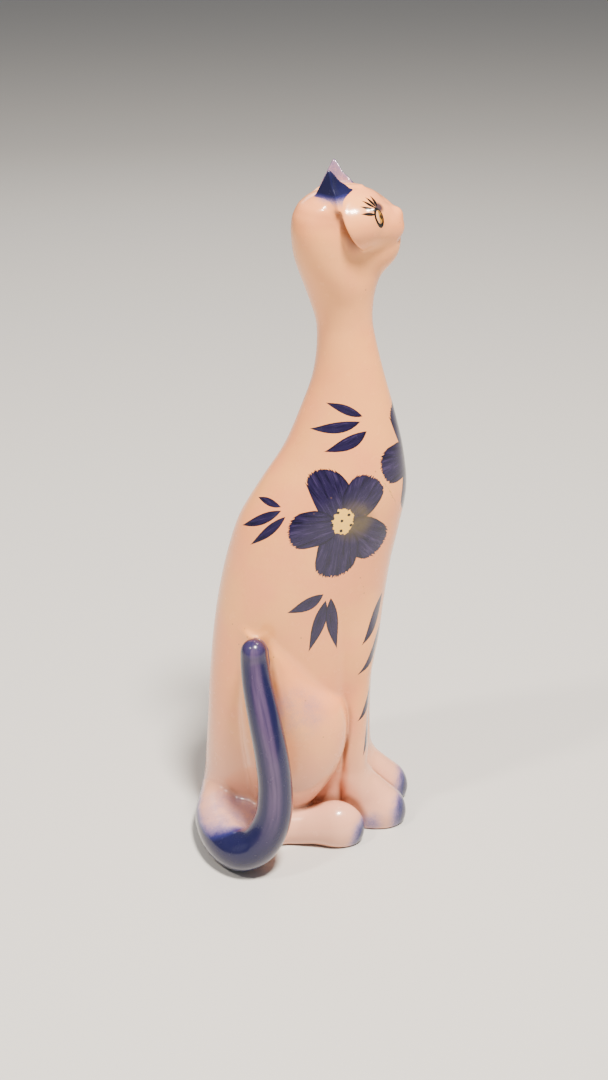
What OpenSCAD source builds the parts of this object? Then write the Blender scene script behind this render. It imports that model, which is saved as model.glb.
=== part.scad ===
// Seated ceramic cat, looking up, with a tail that wraps its right side and rises.
// It faces +X, its left side is +Y, and it stands on Z = 0 with the origin
// at the middle of its footprint's length, on its own plane of symmetry.

/* [Figure] */
// Height from the table to the ear tips
figure_h = 450; // [300:10:600]
// Length of the footprint, from the tail's root to the front toes
figure_l = 145; // [110:1:190]
// Width of the torso at its widest, without the haunches
torso_w = 84; // [66:1:110]

/* [Casting] */
// Wall thickness of the hollow body and head, at the nominal size
wall = 4.5; // [3:0.5:7]
// Gap for the slip that joins two castings
slip_gap = 0.2; // [0.1:0.05:0.4]

/* [Floor] */
// Thickness of the floor that closes the body
floor_t = 5; // [3:0.5:8]
// Diameter of the vent hole in the floor
vent_d = 20; // [8:1:30]

/* [Tail] */
// Thickness of the tail where it lies on the table
tail_d = 29; // [22:1:30]
// Thickness of the tail just below its tip
tail_tip_d = 16.6; // [12:0.2:20]

/* [Ears] */
// Distance between the two ear tips
ear_spacing = 34; // [26:1:40]

/* [Hidden] */

// The stations below are in millimetres at this nominal size, and fit() scales them.
NOMINAL_H = 450;
NOMINAL_L = 145;
NOMINAL_W = 84;
fit_x = figure_l / NOMINAL_L;
fit_y = torso_w / NOMINAL_W;
fit_z = figure_h / NOMINAL_H;
function fit(p) = [p.x * fit_x, p.y * fit_y, p.z * fit_z];

CREAM = [0.90, 0.77, 0.69];
PALE_CREAM = [0.93, 0.83, 0.78];
TAIL_BLUE = [0.24, 0.26, 0.56];
EAR_BLUE = [0.13, 0.13, 0.30];
BARE_CLAY = [0.80, 0.68, 0.56];

// Torso sections: height, back, front, where it is widest, half width
TORSO = [
    [0, -70.5, 44, -14, 36],
    [20, -70.5, 44, -14, 38],
    [50, -68.5, 44, -14, 40],
    [85, -66, 45, -12, 41],
    [130, -62.5, 48, -10, 42],
    [165, -58, 52.5, -5, 41.5],
    [200, -50.5, 57, 2, 40],
    [225, -43, 62, 8, 38],
    [250, -29, 65.5, 18, 35],
    [275, -13.5, 62.5, 24, 30],
    [300, -3, 56.5, 26, 24.5],
    [325, 5.5, 49.5, 27, 20],
    [345, 8, 44.3, 26, 17.5],
    [358, 7.2, 41.8, 24.5, 17]
];
NECK_Z = 358;

// Head sections: height, back, front, where it is widest, half width
HEAD = [
    [358, 7.2, 41.8, 24.5, 17],
    [370, 3.6, 42, 23, 19],
    [380, 0, 44.6, 21.5, 22.5],
    [389, -3.4, 49.5, 20, 26],
    [398, -6.2, 56.4, 19, 28.5],
    [407, -7.5, 58.3, 18, 30],
    [416, -7.7, 59, 17.5, 30],
    [424, -5.8, 56, 17.5, 28],
    [431, -1, 48.5, 18.5, 24],
    [436, 6, 42, 21, 17.5],
    [439, 16, 34, 24, 9]
];
HEAD_TOP_Z = 440;
MUZZLE_TAPER = 0.32;

// The forelegs stand in front of this plane, up to the shoulder
LEG_BACK_X = 29;
SHOULDER_Z = 160;
// Foreleg sections: height, front, half width, how far it has left the torso's own shape
FORELEG = [
    [0, 70, 13.8, 1],
    [3, 72.2, 14.6, 1],
    [10, 73.5, 15, 1],
    [17.5, 70, 14.6, 1],
    [24, 61.5, 14, 1],
    [29, 53, 13.4, 1],
    [37, 47.6, 12.8, 1],
    [55, 45.5, 12.4, 1],
    [90, 45, 12.2, 0.8],
    [125, 47.6, 12.4, 0.4],
    [160, 51.8, 12.6, 0]
];

// Haunch sections: height, back, front, outer side
HAUNCH = [
    [30, -54, 22, -48],
    [42, -56, 24, -49.5],
    [58, -57, 29, -50],
    [78, -57, 32, -50],
    [95, -55, 32, -49.5],
    [110, -52, 27, -48.5],
    [124, -48, 15, -47],
    [138, -43, 2, -45],
    [150, -37, -12, -43.5]
];

HAUNCH_TOP_Z = 150;

// Hind paw sections: height, back, front, outer side
HIND_PAW = [
    [0, -29, 42.5, -51],
    [3, -31, 45, -52.5],
    [12, -33, 46.5, -53],
    [20, -34, 44.5, -52],
    [26, -35, 38, -50.5],
    [29.8, -36, 32, -49.5]
];
LIMB_AXIS_Y = -25;
LIMB_SKIN = 0.8;

// Tail's centre line from its root to its tip: x, y, z, and its thickness
// as a share of the way from the tip's to the lying part's
TAIL = [
    [-57, -24, 15, 1],
    [-56, -41, 14.8, 1],
    [-51.5, -58, 14.6, 1],
    [-43, -71.5, 14.5, 1],
    [-32, -79.5, 16, 0.98],
    [-20.5, -81.5, 25, 0.78],
    [-12.5, -79, 42, 0.52],
    [-11, -75, 62, 0.4],
    [-13.5, -71.5, 85, 0.32],
    [-18.5, -66, 108, 0.26],
    [-24, -59.5, 130, 0.14],
    [-26.5, -55, 146, 0]
];
TAIL_STEPS = 3;
TIP_STEPS = 4;

// Ears: footprint on the head, and the tip
EAR_X = 18.5;
EAR_Y = -15.5;
EAR_RX = 9.5;
EAR_RY = 8;
EAR_TIP_X = 15;
EAR_TIP_R = 0.9;

RING_N = 32;
LIMB_N = 24;
TAIL_N = 14;
EAR_N = 14;

// ---- smooth curves through stations ----

function segment(t, z, i = 0) =
    i >= len(t) - 2 || z <= t[i + 1][0] ? i : segment(t, z, i + 1);

function slope(t, i, c) =
    let (a = max(i - 1, 0), b = min(i + 1, len(t) - 1))
    (t[b][c] - t[a][c]) / (t[b][0] - t[a][0]);

// Value of column c at height z, on a cubic through the stations
function at(t, z, c) =
    let (
        i = segment(t, z),
        h = t[i + 1][0] - t[i][0],
        u = (z - t[i][0]) / h,
        u2 = u * u,
        u3 = u2 * u
    )
    (2 * u3 - 3 * u2 + 1) * t[i][c] + (u3 - 2 * u2 + u) * h * slope(t, i, c)
    + (3 * u2 - 2 * u3) * t[i + 1][c] + (u3 - u2) * h * slope(t, i + 1, c);

// Heights from a to b in n steps
function steps(a, b, n) = [for (i = [0:n]) a + (b - a) * i / n];

// ---- outlines ----

// Oval section of the torso or head at height z, drawn in by inset, tapered to the front
function oval(t, z, inset, taper, x_max, n) =
    let (
        xb = at(t, z, 1) + inset,
        xf = at(t, z, 2) - inset,
        xm = at(t, z, 3),
        b = at(t, z, 4) - inset
    )
    [for (j = [0:n - 1])
        let (
            a = 360 * j / n,
            reach = cos(a) > 0 ? xf - xm : xm - xb
        )
        [
            min(xm + reach * cos(a), x_max),
            b * sin(a) * (1 - taper * max(cos(a), 0))
        ]
    ];

function raise(outline, z) = [for (p = outline) [p.x, p.y, z]];

// Half width of the torso at a point along its length
function torso_y(x, z) =
    let (
        xm = at(TORSO, z, 3),
        reach = x > xm ? at(TORSO, z, 2) - xm : xm - at(TORSO, z, 1),
        q = min(abs(x - xm) / reach, 1)
    )
    at(TORSO, z, 4) * sqrt(1 - q * q);

// ---- solids through rings ----

function side_faces(rings, n, start) = [
    for (i = [0:rings - 2]) for (j = [0:n - 1])
        let (
            a = start + i * n + j,
            b = start + i * n + (j + 1) % n
        )
        [a, a + n, b + n, b]
];

function flip(faces) = [for (f = faces) [for (i = [len(f) - 1:-1:0]) f[i]]];

function flat(lists) = [for (l = lists) for (p = l) p];

function sum(v, i = 0) = i == len(v) - 1 ? v[i] : v[i] + sum(v, i + 1);

function centre(ring) = sum(ring) / len(ring);

// Faces that close a ring onto one point, seen from below the ring
function fan_faces(start, n, tip) = [for (j = [0:n - 1]) [start + j, start + (j + 1) % n, tip]];

// A closed solid through rings of n points each, with rounded or pointed ends
module solid_through(rings) {
    n = len(rings[0]);
    last = (len(rings) - 1) * n;
    tip = len(rings) * n;
    ends = [centre(rings[0]), centre(rings[len(rings) - 1])];
    polyhedron(
        points = [for (p = concat(flat(rings), ends)) fit(p)],
        faces = concat(
            side_faces(len(rings), n, 0),
            fan_faces(0, n, tip),
            flip(fan_faces(last, n, tip + 1))
        ),
        convexity = 6
    );
}

// Faces that close a flat ring by joining each point to the one across from it
function ladder_faces(start, n) = concat(
    [[start, start + 1, start + n - 1]],
    [for (j = [1:n / 2 - 2]) [start + j, start + j + 1, start + n - j - 1, start + n - j]],
    [[start + n / 2 - 1, start + n / 2, start + n / 2 + 1]]
);

// A closed solid through level rings of n points each, with flat ends
module slab_through(rings) {
    n = len(rings[0]);
    polyhedron(
        points = [for (p = flat(rings)) fit(p)],
        faces = concat(
            side_faces(len(rings), n, 0),
            ladder_faces(0, n),
            flip(ladder_faces((len(rings) - 1) * n, n))
        ),
        convexity = 6
    );
}

// The flat rim between an outer ring and an inner ring of n points each, seen from below
function rim_faces(outer, inner, n) = [
    for (j = [0:n - 1])
        let (k = (j + 1) % n)
        [outer + j, outer + k, inner + k, inner + j]
];

// A tube with a wall: open at both ends, or closed over the top when caps gives two points
module wall_through(outer, inner, caps = []) {
    n = len(outer[0]);
    first_in = len(outer) * n;
    last_out = first_in - n;
    last_in = first_in + (len(inner) - 1) * n;
    cap = first_in + len(inner) * n;
    top = len(caps) == 0
        ? flip(rim_faces(last_out, last_in, n))
        : concat(flip(fan_faces(last_out, n, cap)), fan_faces(last_in, n, cap + 1));
    polyhedron(
        points = [for (p = concat(flat(outer), flat(inner), caps)) fit(p)],
        faces = concat(
            side_faces(len(outer), n, 0),
            flip(side_faces(len(inner), n, first_in)),
            rim_faces(0, first_in, n),
            top
        ),
        convexity = 8
    );
}

// ---- castings ----

FREE_X = 1000;
STEP_H = 1.5;

// Rings of the torso: flat in front up to the shoulder, then full
function torso_rings(inset) =
    let (
        shoulder = SHOULDER_Z + inset,
        low = steps(0, shoulder, 7),
        high = steps(shoulder + STEP_H, NECK_Z, 12)
    )
    concat(
        [for (z = low) raise(oval(TORSO, z, inset, 0, LEG_BACK_X - inset, RING_N), z)],
        [for (z = high) raise(oval(TORSO, z, inset, 0, FREE_X, RING_N), z)]
    );

module body_shell() {
    color(CREAM) wall_through(torso_rings(0), torso_rings(wall));
}

function head_rings(inset, top) = [
    for (z = steps(NECK_Z, top, 11))
        let (taper = MUZZLE_TAPER * min((z - NECK_Z) / 45, 1))
        raise(oval(HEAD, z, inset, taper, FREE_X, RING_N), z)
];

module head_shell() {
    crown = [at(HEAD, 439, 3), 0, HEAD_TOP_Z];
    color(CREAM)
        wall_through(
            head_rings(0, HEAD[len(HEAD) - 1][0]),
            head_rings(wall, HEAD_TOP_Z - 2 * wall),
            [crown, [crown.x, 0, HEAD_TOP_Z - wall]]
        );
}

// How far out a point is on the head's section at height z: 1 on the surface
function head_share(x, y, z) =
    let (
        xm = at(HEAD, z, 3),
        reach = x > xm ? at(HEAD, z, 2) - xm : xm - at(HEAD, z, 1),
        qx = (x - xm) / reach,
        b = at(HEAD, z, 4) * (1 - MUZZLE_TAPER * max(qx, 0))
    )
    norm([qx, y / b]);

// Height of the head's surface over a point, by halving
function head_top(x, y, low = 405, high = 439.9, turns = 14) =
    let (z = (low + high) / 2)
    turns == 0 ? z
    : head_share(x, y, z) < 1 ? head_top(x, y, z, high, turns - 1)
    : head_top(x, y, low, z, turns - 1);

// A ring of the ear's footprint, resting on the head
function ear_foot(share) = [
    for (j = [0:EAR_N - 1])
        let (
            a = 360 * j / EAR_N,
            x = EAR_X + share * EAR_RX * cos(a),
            y = EAR_Y + share * EAR_RY * sin(a)
        )
        [x, y, head_top(x, y) + slip_gap]
];

function ear_ring(share) =
    let (
        foot = ear_foot(1),
        tip = [EAR_TIP_X, -ear_spacing / 2 / fit_y, NOMINAL_H]
    )
    [for (j = [0:EAR_N - 1])
        let (
            a = 360 * j / EAR_N,
            top = tip + EAR_TIP_R * [cos(a), sin(a), 0]
        )
        foot[j] + share * (top - foot[j])
    ];

module right_ear() {
    color(EAR_BLUE)
        solid_through(concat(
            [ear_foot(0.35), ear_foot(0.7), ear_foot(1)],
            [for (share = steps(0.2, 1, 4)) ear_ring(share)]
        ));
}

module left_ear() {
    mirror([0, 1, 0]) right_ear();
}

function signed_pow(v, e) = sign(v) * pow(abs(v), e);

// The torso or the foreleg that a limb lies against, at a point along the length
function inner_side(x, z) =
    let (leg = 2 * at(FORELEG, z, 2) + slip_gap)
    max(torso_y(x, z), x > LEG_BACK_X - 3 ? leg : 0) + slip_gap;

// Section of a limb that lies along the torso's right side
function limb_ring(t, z, squareness) =
    let (
        xm = (at(t, z, 1) + at(t, z, 2)) / 2,
        ax = (at(t, z, 2) - at(t, z, 1)) / 2,
        by = LIMB_AXIS_Y - at(t, z, 3)
    )
    [for (j = [0:LIMB_N - 1])
        let (
            a = 360 * j / LIMB_N,
            x = xm + ax * signed_pow(cos(a), squareness),
            y = LIMB_AXIS_Y + by * signed_pow(sin(a), squareness),
            skin = a > 180 ? LIMB_SKIN : 0
        )
        [x, min(y, -inner_side(x, z) - skin), z]
    ];

module right_haunch() {
    color(CREAM)
        slab_through([for (z = steps(HAUNCH[0][0], HAUNCH_TOP_Z, 12)) limb_ring(HAUNCH, z, 0.8)]);
}

module left_haunch() {
    mirror([0, 1, 0]) right_haunch();
}

module right_hind_paw() {
    color(PALE_CREAM)
        slab_through([for (z = concat([0, 3], steps(8, HAUNCH[0][0] - slip_gap, 5))) limb_ring(HIND_PAW, z, 0.7)]);
}

module left_hind_paw() {
    mirror([0, 1, 0]) right_hind_paw();
}

// Section of the right foreleg, its own rounded shape below and the torso's shape above
function foreleg_ring(z) =
    let (
        back = LEG_BACK_X + slip_gap,
        ax = (at(FORELEG, z, 1) - back) / 2,
        half = at(FORELEG, z, 2),
        own = at(FORELEG, z, 3),
        squareness = 0.3 + 0.4 * own
    )
    [for (j = [0:LIMB_N - 1])
        let (
            a = 360 * j / LIMB_N,
            x = back + ax + ax * signed_pow(cos(a), squareness),
            across = (1 - signed_pow(sin(a), squareness)) / 2,
            width = own * 2 * half + (1 - own) * (torso_y(x, z) + 1)
        )
        [x, -slip_gap / 2 - across * width, z]
    ];

module right_foreleg() {
    heights = concat([0, 3, 6.5], steps(10, 37, 6), steps(48, SHOULDER_Z - slip_gap, 7));
    color(PALE_CREAM)
        slab_through([for (z = heights) foreleg_ring(z)]);
}

module left_foreleg() {
    mirror([0, 1, 0]) right_foreleg();
}

// ---- tail ----

function unit(v) = v / norm(v);

// Point on a curve through the tail's stations, u of the way from station i to the next
function tail_point(i, u) =
    let (
        a = TAIL[max(i - 1, 0)],
        b = TAIL[i],
        c = TAIL[i + 1],
        d = TAIL[min(i + 2, len(TAIL) - 1)]
    )
    0.5 * (2 * b + (c - a) * u + (2 * a - 5 * b + 4 * c - d) * u * u
        + (3 * b - a - 3 * c + d) * u * u * u);

function xyz(p) = [p.x, p.y, p[2]];

// Pushes a point of the tail's root out to the torso's surface
function clear_of_torso(p) =
    let (
        z = max(p.z, 0),
        xm = at(TORSO, z, 3),
        reach = xm - at(TORSO, z, 1),
        share = norm([(p.x - xm) / reach, p.y / at(TORSO, z, 4)]),
        k = max(1, 1.006 / share)
    )
    [xm + (p.x - xm) * k, p.y * k, z];

function tail_ring(middle, along, r) =
    let (
        t = unit(along),
        across = [1, 1, 0],
        n1 = unit(across - (across * t) * t),
        n2 = cross(t, n1)
    )
    [for (j = [0:TAIL_N - 1])
        let (a = 360 * j / TAIL_N)
        clear_of_torso(middle + r * (cos(a) * n1 + sin(a) * n2))
    ];

function tail_radius(share) = (tail_tip_d + (tail_d - tail_tip_d) * share) / 2;

module tail() {
    end = len(TAIL) - 1;
    path = concat(
        [for (i = [0:end - 1]) for (k = [0:TAIL_STEPS - 1]) tail_point(i, k / TAIL_STEPS)],
        [TAIL[end]]
    );
    last = len(path) - 1;
    up = unit(xyz(path[last]) - xyz(path[last - 1]));
    tip_r = tail_tip_d / 2;
    color(TAIL_BLUE)
        solid_through(concat(
            [for (i = [0:last])
                tail_ring(
                    xyz(path[i]),
                    xyz(path[min(i + 1, last)]) - xyz(path[max(i - 1, 0)]),
                    tail_radius(path[i][3])
                )
            ],
            [for (k = [1:TIP_STEPS])
                let (a = 84 * k / TIP_STEPS)
                tail_ring(xyz(path[last]) + up * tip_r * sin(a), up, tip_r * cos(a))
            ]
        ));
}

// ---- floor ----

VENT_X = -25;

module base_floor() {
    color(BARE_CLAY)
        difference() {
            linear_extrude(floor_t)
                polygon([
                    for (p = oval(TORSO, 0, wall + slip_gap, 0, LEG_BACK_X - wall - slip_gap, RING_N))
                        [p.x * fit_x, p.y * fit_y]
                ]);
            translate([VENT_X * fit_x, 0, -1])
                cylinder(h = floor_t + 2, d = vent_d, $fn = 64);
        }
}

body_shell();
head_shell();
right_ear();
left_ear();
right_haunch();
left_haunch();
right_hind_paw();
left_hind_paw();
right_foreleg();
left_foreleg();
tail();
base_floor();
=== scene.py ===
import math

import bmesh
import bpy
import numpy as np
import openvdb
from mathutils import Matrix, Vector


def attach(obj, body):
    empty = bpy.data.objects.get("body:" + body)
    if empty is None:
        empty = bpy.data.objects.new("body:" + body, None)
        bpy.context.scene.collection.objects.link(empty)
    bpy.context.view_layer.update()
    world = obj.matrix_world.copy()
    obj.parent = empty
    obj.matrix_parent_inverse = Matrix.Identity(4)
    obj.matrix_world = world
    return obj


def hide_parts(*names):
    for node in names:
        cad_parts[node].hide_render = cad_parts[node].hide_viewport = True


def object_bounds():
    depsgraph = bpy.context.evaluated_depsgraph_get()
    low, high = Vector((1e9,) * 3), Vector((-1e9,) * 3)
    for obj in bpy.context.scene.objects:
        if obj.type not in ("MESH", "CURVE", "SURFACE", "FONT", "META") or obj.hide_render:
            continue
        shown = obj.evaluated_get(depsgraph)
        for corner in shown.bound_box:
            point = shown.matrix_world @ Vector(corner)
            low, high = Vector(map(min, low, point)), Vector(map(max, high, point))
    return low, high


# A tall seated ceramic cat: clay shape from smooth distance fields, glaze and brush
# painting from procedural materials. Shape sizes are millimetres of the nominal cat,
# and MM turns them into the frame's metres. The cat faces +X, its left is +Y and up is +Z.
# Only its right side and middle are given: most shapes are mirrored to the left.

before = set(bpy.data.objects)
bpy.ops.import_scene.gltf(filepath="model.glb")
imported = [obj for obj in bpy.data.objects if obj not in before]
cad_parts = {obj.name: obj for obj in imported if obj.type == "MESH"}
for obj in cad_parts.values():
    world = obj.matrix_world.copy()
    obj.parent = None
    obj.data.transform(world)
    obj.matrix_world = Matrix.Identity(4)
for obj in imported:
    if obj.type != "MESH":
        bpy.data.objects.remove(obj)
cad_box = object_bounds()

NOMINAL_HEIGHT = 450.0
MM = (cad_box[1][2] - cad_box[0][2]) / NOMINAL_HEIGHT


# ---------------------------------------------------------------- camera

# The camera stands to the cat's right and a little ahead of it, and looks down on it
CAMERA_AWAY = 823.0
CAMERA_HEIGHT = 610.0
CAMERA_TURN = math.radians(6)
CAMERA_TILT = math.radians(26)
SENSOR_HEIGHT = 36.0
LENS = 46.667


def make_camera():
    """The photograph's viewpoint."""
    data = bpy.data.cameras.new("camera")
    data.sensor_fit = "VERTICAL"
    data.sensor_height = SENSOR_HEIGHT
    data.lens = LENS
    camera = bpy.data.objects.new("camera", data)
    bpy.context.scene.collection.objects.link(camera)
    across, along = CAMERA_AWAY * math.cos(CAMERA_TURN), CAMERA_AWAY * math.sin(CAMERA_TURN)
    camera.location = (along * MM, -across * MM, CAMERA_HEIGHT * MM)
    camera.rotation_euler = (math.pi / 2 - CAMERA_TILT, 0, CAMERA_TURN)
    bpy.context.scene.camera = camera


make_camera()


# ---------------------------------------------------------------- distance fields

# Distances are kept this far from a surface
BAND = 12.0


class Grid:
    """A block of voxels, in millimetres, with distances kept as dense arrays."""

    def __init__(self, low, high, voxel):
        self.low = np.array(low, float)
        self.voxel = voxel
        self.shape = tuple(int(math.ceil((h - l) / voxel)) + 1 for l, h in zip(low, high))
        axes = [self.low[k] + voxel * np.arange(self.shape[k]) for k in range(3)]
        self.x = axes[0].astype(np.float32).reshape(-1, 1, 1)
        self.y = axes[1].astype(np.float32).reshape(1, -1, 1)
        self.z = axes[2].astype(np.float32).reshape(1, 1, -1)

    def of_mesh(self, points, quads):
        """Signed distance to a closed mesh, kept within BAND of its surface."""
        moved = ((points - self.low) / self.voxel).astype(np.float32)
        level = openvdb.FloatGrid.createLevelSetFromPolygons(
            points=moved, quads=quads.astype(np.uint32), halfWidth=BAND / self.voxel
        )
        out = np.empty(self.shape, np.float32)
        level.copyToArray(out)
        return out * self.voxel

    def ellipsoid(self, centre, radii, lean=0.0, mirrored=True):
        """Distance to an ellipsoid, leaned about the Y axis, on both sides of the cat if mirrored."""
        dx = self.x - centre[0]
        dy = (-np.abs(self.y) if mirrored else self.y) - centre[1]
        dz = self.z - centre[2]
        c, s = math.cos(math.radians(lean)), math.sin(math.radians(lean))
        u = dx * c + dz * s
        w = dz * c - dx * s
        near = np.sqrt((u / radii[0]) ** 2 + (dy / radii[1]) ** 2 + (w / radii[2]) ** 2)
        slope = np.sqrt(
            (u / radii[0] ** 2) ** 2 + (dy / radii[1] ** 2) ** 2 + (w / radii[2] ** 2) ** 2
        )
        return near * (near - 1) / np.maximum(slope, 1e-4)

    def capsule(self, a, b, ra, rb):
        """Distance to a tapered rod between two points, on both sides of the cat."""
        a = np.array(a, float)
        axis = np.array(b, float) - a
        dx = self.x - a[0]
        dy = -np.abs(self.y) - a[1]
        dz = self.z - a[2]
        t = (dx * axis[0] + dy * axis[1] + dz * axis[2]) / axis.dot(axis)
        t = np.clip(t, 0, 1)
        gap = np.sqrt((dx - t * axis[0]) ** 2 + (dy - t * axis[1]) ** 2 + (dz - t * axis[2]) ** 2)
        return gap - (ra + (rb - ra) * t)

    def plane(self, point, normal):
        """Distance in front of a plane, mirrored to both sides of the cat."""
        n = np.array(normal, float)
        n /= np.linalg.norm(n)
        y = -np.abs(self.y)
        return (self.x - point[0]) * n[0] + (y - point[1]) * n[1] + (self.z - point[2]) * n[2]

    def sample(self, field, points):
        """Values of a field at points, by trilinear interpolation."""
        q = (points - self.low) / self.voxel
        top = np.array(self.shape) - 1.001
        q = np.clip(q, 0, top)
        i = q.astype(int)
        f = q - i
        value = 0.0
        for corner in np.ndindex(2, 2, 2):
            weight = np.prod(np.where(corner, f, 1 - f), axis=1)
            j = i + corner
            value = value + weight * field[j[:, 0], j[:, 1], j[:, 2]]
        return value

    def slope(self, field, points):
        """Gradient of a field at points."""
        step = 0.7 * self.voxel
        out = np.empty((len(points), 3))
        for k in range(3):
            move = np.zeros(3)
            move[k] = step
            out[:, k] = self.sample(field, points + move) - self.sample(field, points - move)
        return out / (2 * step)

    def way_out(self, field, points):
        """How many slopes each point is outside the field's zero level, and the slopes."""
        slope = self.slope(field, points)
        return self.sample(field, points) / np.maximum((slope ** 2).sum(1), 0.2), slope

    def surface(self, field):
        """Quad mesh of the field's zero level, with its vertices pulled onto it."""
        grid = openvdb.FloatGrid(BAND)
        grid.copyFromArray(np.ascontiguousarray(field))
        points, quads = grid.convertToQuads(0.0)
        points = points.astype(float) * self.voxel + self.low
        for _ in range(2):
            off, slope = self.way_out(field, points)
            points -= np.clip(off, -self.voxel, self.voxel)[:, None] * slope
        return points, quads.astype(int)


def merge(a, b, soft):
    """Smooth union of two fields."""
    h = np.clip(0.5 + 0.5 * (b - a) / soft, 0, 1)
    return b + (a - b) * h - soft * h * (1 - h)


def carve(a, b, soft):
    """Smooth removal of field b from field a."""
    return -merge(-a, b, soft)


def trim(a, b, soft):
    """Smooth intersection of two fields."""
    return -merge(-a, -b, soft)


# ---------------------------------------------------------------- clay shapes

def curve_through(stations, heights):
    """Smooth values of each column at the heights, by cubics through the stations."""
    t = np.array(stations, float)
    z = t[:, 0]
    slope = np.gradient(t, z, axis=0)
    i = np.clip(np.searchsorted(z, heights) - 1, 0, len(z) - 2)
    h = (z[i + 1] - z[i])[:, None]
    u = ((heights - z[i]) / h[:, 0])[:, None]
    return (
        (2 * u ** 3 - 3 * u ** 2 + 1) * t[i]
        + (u ** 3 - 2 * u ** 2 + u) * h * slope[i]
        + (3 * u ** 2 - 2 * u ** 3) * t[i + 1]
        + (u ** 3 - u ** 2) * h * slope[i + 1]
    )


def tube_quads(rings, n):
    """Quads between rings of n points, closed by quads over both ends."""
    i, j = np.meshgrid(np.arange(rings - 1), np.arange(n), indexing="ij")
    a = (i * n + j).ravel()
    b = (i * n + (j + 1) % n).ravel()
    sides = np.stack([a, b, b + n, a + n], 1)
    k = np.arange(n // 2 - 1)
    low = np.stack([k, n - 1 - k, n - 2 - k, k + 1], 1)
    high = low[:, ::-1] + (rings - 1) * n
    return np.concatenate([sides, low, high])


def power(v, p):
    """A power that keeps the sign of its base."""
    return np.sign(v) * np.abs(v) ** p


# The loft of torso, neck and skull runs between these heights, more finely over the crown
LOFT_LOW, CROWN, LOFT_HIGH = -8, 420, 440
# Height, back, front, widest place, half width, squareness, narrowing to the front
CORE = [
    (-8, -70.5, 30, -14, 36, 0.82, 0),
    (20, -70.5, 31, -14, 38, 0.82, 0),
    (50, -68.5, 32, -14, 40, 0.82, 0),
    (85, -66, 35, -12, 41, 0.84, 0),
    (103, -65, 39, -11, 41.6, 0.86, 0),
    (120, -63.5, 44, -10, 42, 0.88, 0),
    (142, -61.3, 49.6, -8, 42, 0.93, 0),
    (165, -58, 52.8, -5, 41.5, 0.98, 0),
    (200, -50.5, 57.3, 2, 40, 1, 0),
    (225, -42.5, 62, 8, 38, 1, 0),
    (250, -28.5, 65.5, 18, 35, 1, 0),
    (275, -13.2, 62.8, 24, 30, 1, 0),
    (300, -2.8, 56.8, 26, 24.5, 1, 0),
    (325, 5.5, 49.5, 27, 20, 1, 0),
    (345, 7.8, 44.3, 26, 17.5, 1, 0),
    (358, 7.2, 41.8, 24.5, 17, 1, 0),
    (370, 3.6, 42, 23, 18.6, 1, 0.1),
    (380, 0, 43.8, 21.5, 21.5, 1, 0.22),
    (389, -3.4, 47, 20, 24.3, 1, 0.42),
    (398, -6.2, 50.5, 19, 26.4, 1, 0.53),
    (407, -7.5, 52, 18, 27.6, 1, 0.56),
    (416, -7.7, 51.5, 17.5, 27.8, 1, 0.44),
    (424, -5.8, 48.5, 17.5, 26.5, 1, 0.38),
    (430, -1.5, 45, 18.5, 23.5, 1, 0.3),
    (434.5, 6, 41.5, 21, 18, 1, 0.25),
    (437.6, 17, 36.5, 25, 8, 1, 0.2),
]


def front_share(angle):
    """0 at the sides and back, rising smoothly to 1 at the front."""
    return np.maximum(np.cos(angle), 0) ** 2


def outline(row, angles):
    """X and Y round one level of the loft, by angle from its front."""
    _, back, front, middle, half, squareness, narrow = row
    reach = np.where(np.cos(angles) > 0, front - middle, middle - back)
    x = middle + reach * power(np.cos(angles), squareness)
    y = half * power(np.sin(angles), squareness) * (1 - narrow * front_share(angles))
    return x, y


def core_mesh():
    """Torso, neck and skull as one loft."""
    n = 96
    heights = np.concatenate([np.arange(LOFT_LOW, CROWN, 2.5), np.arange(CROWN, LOFT_HIGH, 0.75)])
    rows = curve_through(CORE, heights)
    a = np.arange(n) * 2 * np.pi / n
    points = []
    for row in rows:
        x, y = outline(row, a)
        points.append(np.stack([x, y, np.full(n, row[0])], 1))
    return np.concatenate(points), tube_quads(len(rows), n)


def with_left_side(points, quads):
    """The mesh and its mirror image on the cat's left side."""
    mirrored = points * (1, -1, 1)
    return np.concatenate([points, mirrored]), np.concatenate([quads, quads[:, ::-1] + len(points)])


def limb_mesh(stations, squareness, step=2.0, n=48):
    """A limb lofted through level ovals: height, back, front, inner side, outer side."""
    heights = np.arange(stations[0][0], stations[-1][0] + 0.01, step)
    rows = curve_through(stations, heights)
    a = np.arange(n) * 2 * np.pi / n
    points = []
    for z, back, front, inner, outer in rows:
        x = (back + front) / 2 + (front - back) / 2 * power(np.cos(a), squareness)
        y = (inner + outer) / 2 + (inner - outer) / 2 * power(np.sin(a), squareness)
        points.append(np.stack([x, y, np.full(n, z)], 1))
    return with_left_side(np.concatenate(points), tube_quads(len(rows), n))


# Stations of the right limbs: height, back, front, inner side, outer side
FORELEG = [
    (-6, 28, 48, -0.4, -27),
    (20, 28, 48, -0.4, -27),
    (36, 28, 46.8, -0.4, -25.4),
    (55, 28, 45.6, -0.4, -24.8),
    (90, 27, 45.2, -0.2, -25.2),
    (110, 26, 46.2, 0, -26),
    (135, 26, 47.6, 1, -26.6),
    (155, 27, 47.5, 3, -25),
    (178, 30, 44, 3, -20),
]
HAUNCH = [
    (6, -26, -8, -20, -34),
    (14, -30, 2, -16, -38),
    (24, -33, 9, -12, -43),
    (40, -35, 18.5, -10, -48.6),
    (58, -37, 27.5, -10, -52),
    (78, -39, 32, -10, -53),
    (95, -40, 31.8, -10, -52.4),
    (107, -40, 28, -10, -51),
    (120, -39, 17, -10, -49),
    (137, -37, 1, -10, -46),
    (156, -34, -20, -16, -41),
]

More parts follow.
